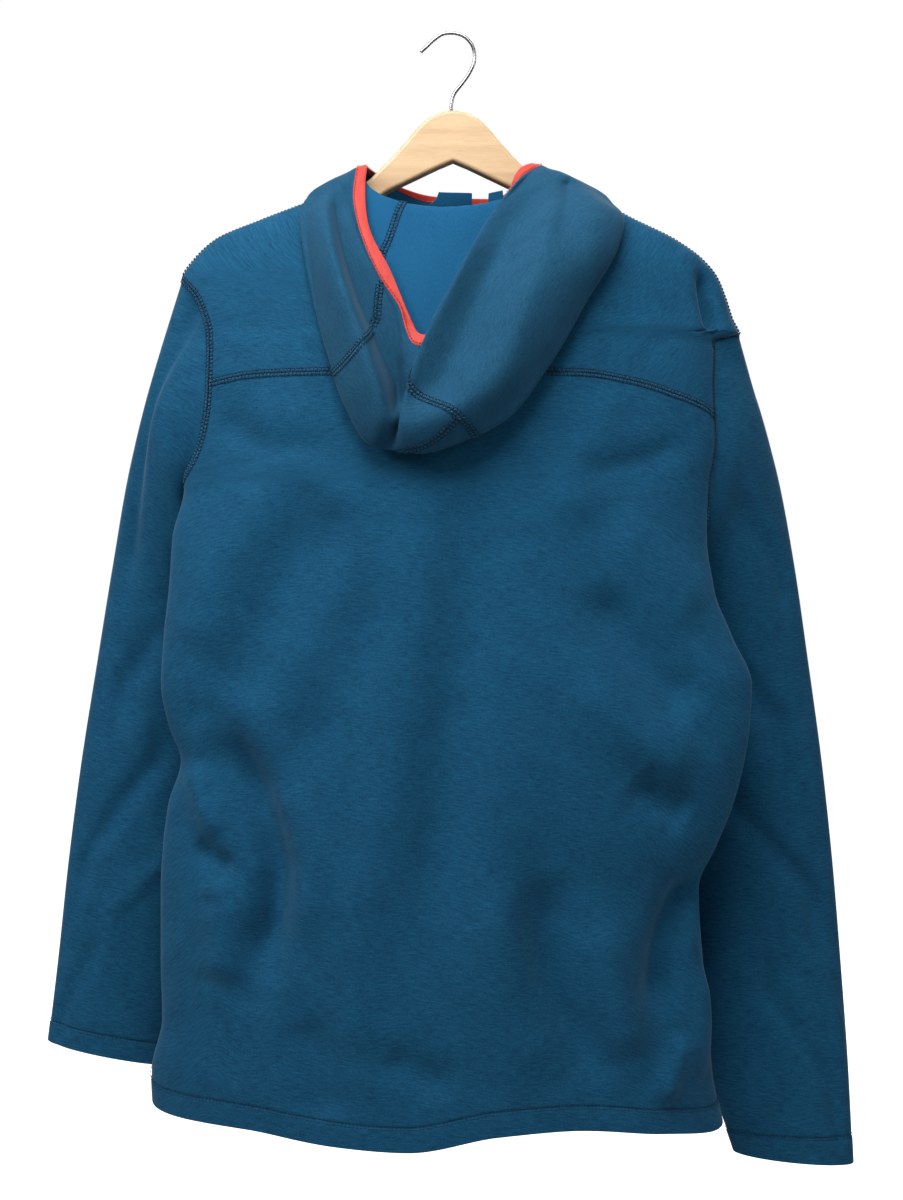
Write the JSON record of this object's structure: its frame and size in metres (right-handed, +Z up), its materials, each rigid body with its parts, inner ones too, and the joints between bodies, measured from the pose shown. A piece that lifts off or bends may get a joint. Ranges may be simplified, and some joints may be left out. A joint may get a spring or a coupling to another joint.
{
  "type": "hooded fleece jacket on a clothes hanger",
  "caption": "Zip-front hooded fleece jacket with bound hood edge and set-in sleeves, hanging on a wooden clothes hanger with a wire hook.",
  "frame": {"origin": "inside top of the hanger's wire hook, where it rests on a rail or peg", "axes": "+Z up, +Y towards the front of the jacket (the wearer's front), +X to the wearer's right, so the picture's camera looks along +Y at the back"},
  "size_m": [0.7114, 0.208, 0.9852],
  "materials": {
    "body_fleece": "smooth-faced knit fleece, matt",
    "hood_fleece": "smooth-faced knit fleece, matt",
    "binding": "elastic binding, folded and stitched",
    "zip_tape": "woven tape with a moulded coil",
    "zip_metal": "dark lacquered",
    "hanger_wood": "pale beech, clear satin lacquer",
    "hook_wire": "polished wire"
  },
  "bodies": {
    "jacket_on_hanger": {"back_yoke": "body_fleece", "back_lower": "body_fleece", "front_left": "body_fleece", "front_right": "body_fleece", "sleeve_left": "body_fleece", "sleeve_right": "body_fleece", "hood_side_left": "hood_fleece", "hood_side_right": "hood_fleece", "hood_crown_top": "hood_fleece", "hood_crown_back": "hood_fleece", "hood_binding": "binding", "zip_guard_left": "body_fleece", "zip_guard_right": "body_fleece", "zip_tape_left": "zip_tape", "zip_tape_right": "zip_tape", "zip_slider": "zip_metal", "hanger_wood": "hanger_wood", "hanger_hook": "hook_wire"},
    "pull_tab": {"zip_pull": "zip_metal"}
  },
  "joints": [
    {"name": "zip_pull_swing", "type": "hinge", "parent": "jacket_on_hanger", "child": "pull_tab", "pos_m": [0.01993, 0.07213, -0.20801], "axis": [1, 0, 0], "range_deg": [0, 150]}
  ]
}
